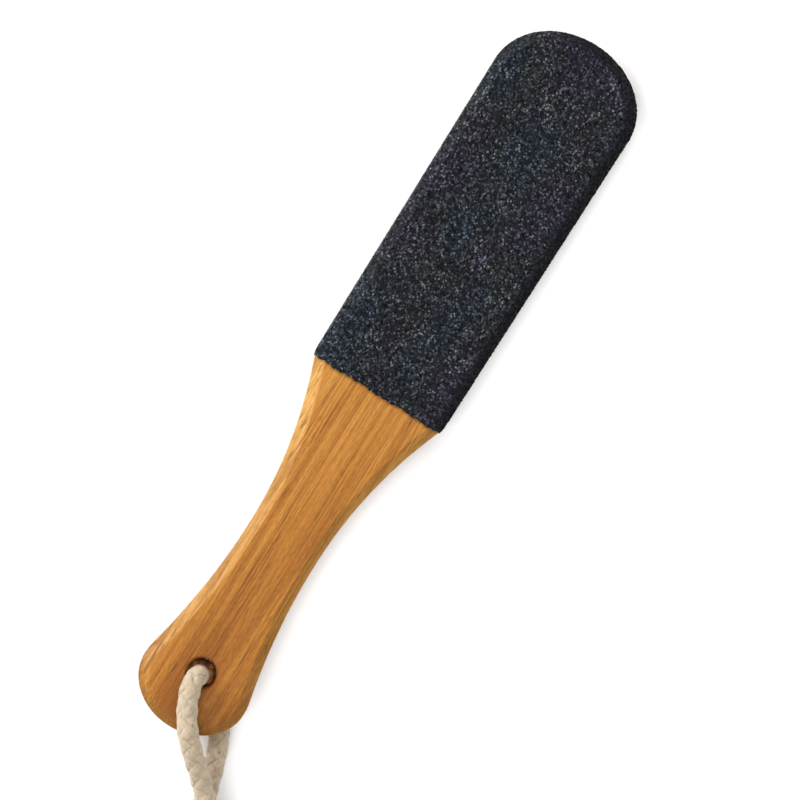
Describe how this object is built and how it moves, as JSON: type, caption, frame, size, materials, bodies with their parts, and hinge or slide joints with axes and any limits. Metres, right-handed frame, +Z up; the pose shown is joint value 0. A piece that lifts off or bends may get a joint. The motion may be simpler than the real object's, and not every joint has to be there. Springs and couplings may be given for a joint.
{
  "type": "foot file",
  "caption": "Wooden paddle-shaped foot file with a coarse dark abrasive sheet on each face of its head and a braided cotton hanging loop through the handle.",
  "frame": {"origin": "centre of the paddle's box at its base, on the table that it lies on", "axes": "+X along the paddle from butt to tip, +Z up out of the front face, which is tilted 1.6 degrees because the handle lies on its own cord"},
  "size_m": [0.3634, 0.0742, 0.0241],
  "materials": {
    "paddle_wood": "smooth sanded, lightly sealed caramel-brown strip wood with fine dark fibres",
    "adhesive_film": "thin pressure-sensitive adhesive film",
    "backing_cloth": "dark resin-filled backing cloth",
    "coarse_grit": "coarse blue-black mineral grains in resin, with grey sparkle",
    "fine_grit": "finer blue-black mineral grains in resin",
    "cotton_cord": "round-braided undyed cotton"
  },
  "bodies": {
    "paddle": {"wooden_paddle": "paddle_wood", "front_adhesive": "adhesive_film", "front_backing": "backing_cloth", "front_grit": "coarse_grit", "back_adhesive": "adhesive_film", "back_backing": "backing_cloth", "back_grit": "fine_grit"},
    "hang_loop": {"cord_front_run": "cotton_cord", "cord_back_run": "cotton_cord", "cord_knot": "cotton_cord", "cord_tails": "cotton_cord"}
  },
  "joints": [
    {"name": "loop_swing", "type": "hinge", "parent": "paddle", "child": "hang_loop", "pos_m": [-0.10898, 0, 0.012], "axis": [0, 0, 1], "range_deg": [-122.2, 57.8]}
  ]
}
